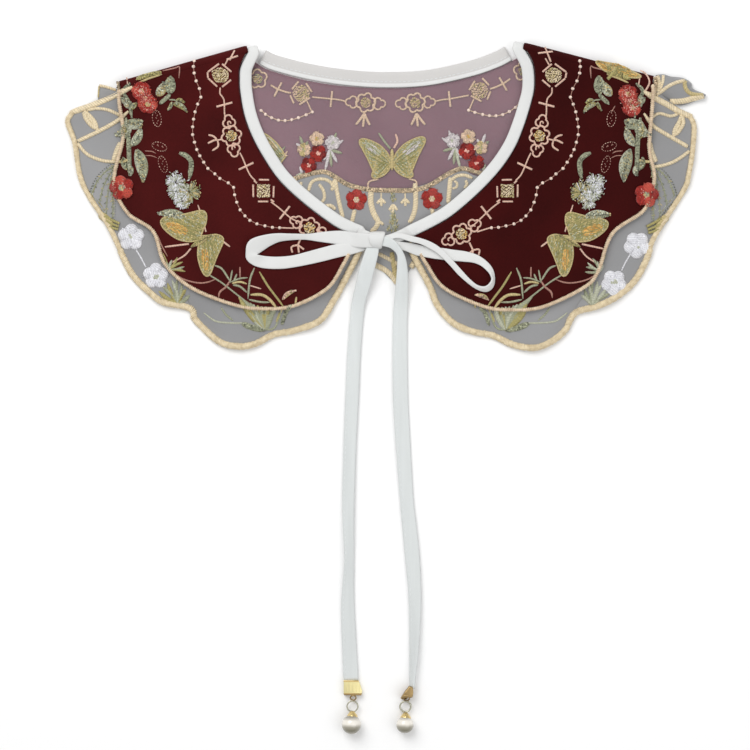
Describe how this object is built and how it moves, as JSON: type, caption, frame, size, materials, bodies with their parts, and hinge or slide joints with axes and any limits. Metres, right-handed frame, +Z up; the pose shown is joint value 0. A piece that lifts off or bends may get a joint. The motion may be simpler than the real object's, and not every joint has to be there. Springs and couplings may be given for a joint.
{
  "type": "embroidered lace collar",
  "caption": "Detachable embroidered collar of velvet on scalloped organza, folded at the shoulders and laid flat, with a tied ribbon bow and pearl-tipped ties.",
  "frame": {"origin": "centre of the collar's plan box, without the hanging ties, at the surface it lies on", "axes": "+Z up from that surface, +Y from the ties towards the back of the neck, +X towards the right of the picture"},
  "size_m": [0.3846, 0.4156, 0.012],
  "materials": {
    "velvet": "dark wine-red short-pile velvet",
    "organza": "sheer grey organza",
    "tape": "off-white woven bias tape",
    "cream_thread": "cream satin stitch",
    "white_thread": "white satin stitch",
    "red_thread": "brick-red satin stitch",
    "olive_thread": "olive and gold satin stitch",
    "gold_metal": "bright gold-coloured metal",
    "pearl": "pearlescent bead"
  },
  "bodies": {
    "root": {"aster_left": "white_thread", "aster_right": "white_thread", "binding_back": "tape", "binding_left": "tape", "binding_right": "tape", "border_line_left": "cream_thread", "border_line_right": "cream_thread", "bow_knot": "tape", "bow_loop_left": "tape", "bow_loop_right": "tape", "butterfly_back": "olive_thread", "butterfly_left": "olive_thread", "butterfly_right": "olive_thread", "butterfly_shoulder": "olive_thread", "crimp_left": "gold_metal", "crimp_right": "gold_metal", "flower_red_back_left": "red_thread", "flower_red_back_right": "red_thread", "flower_red_left": "red_thread", "flower_red_right": "red_thread", "flower_red_shoulder_left": "red_thread", "flower_red_shoulder_right": "red_thread", "flower_white_lower_left": "white_thread", "flower_white_lower_right": "white_thread", "flower_white_upper_left": "white_thread", "flower_white_upper_right": "white_thread", "hem_cord_back": "cream_thread", "hem_cord_left": "cream_thread", "hem_cord_right": "cream_thread", "organza_back": "organza", "organza_front_left": "organza", "organza_front_right": "organza", "organza_ruffle": "organza", "pearl_cap_left": "gold_metal", "pearl_cap_right": "gold_metal", "pearl_left": "pearl", "pearl_right": "pearl", "rib_fork_left": "cream_thread", "rib_fork_right": "cream_thread", "rib_low_left": "cream_thread", "rib_low_right": "cream_thread", "rib_mid_left": "cream_thread", "rib_mid_right": "cream_thread", "rib_pod_left": "cream_thread", "rib_pod_right": "cream_thread", "rib_top_left": "cream_thread", "rib_top_right": "cream_thread", "ring_left": "gold_metal", "ring_right": "gold_metal", "tie_left": "tape", "tie_right": "tape", "velvet_back": "velvet", "velvet_front_left": "velvet", "velvet_front_right": "velvet"}
  },
  "joints": []
}
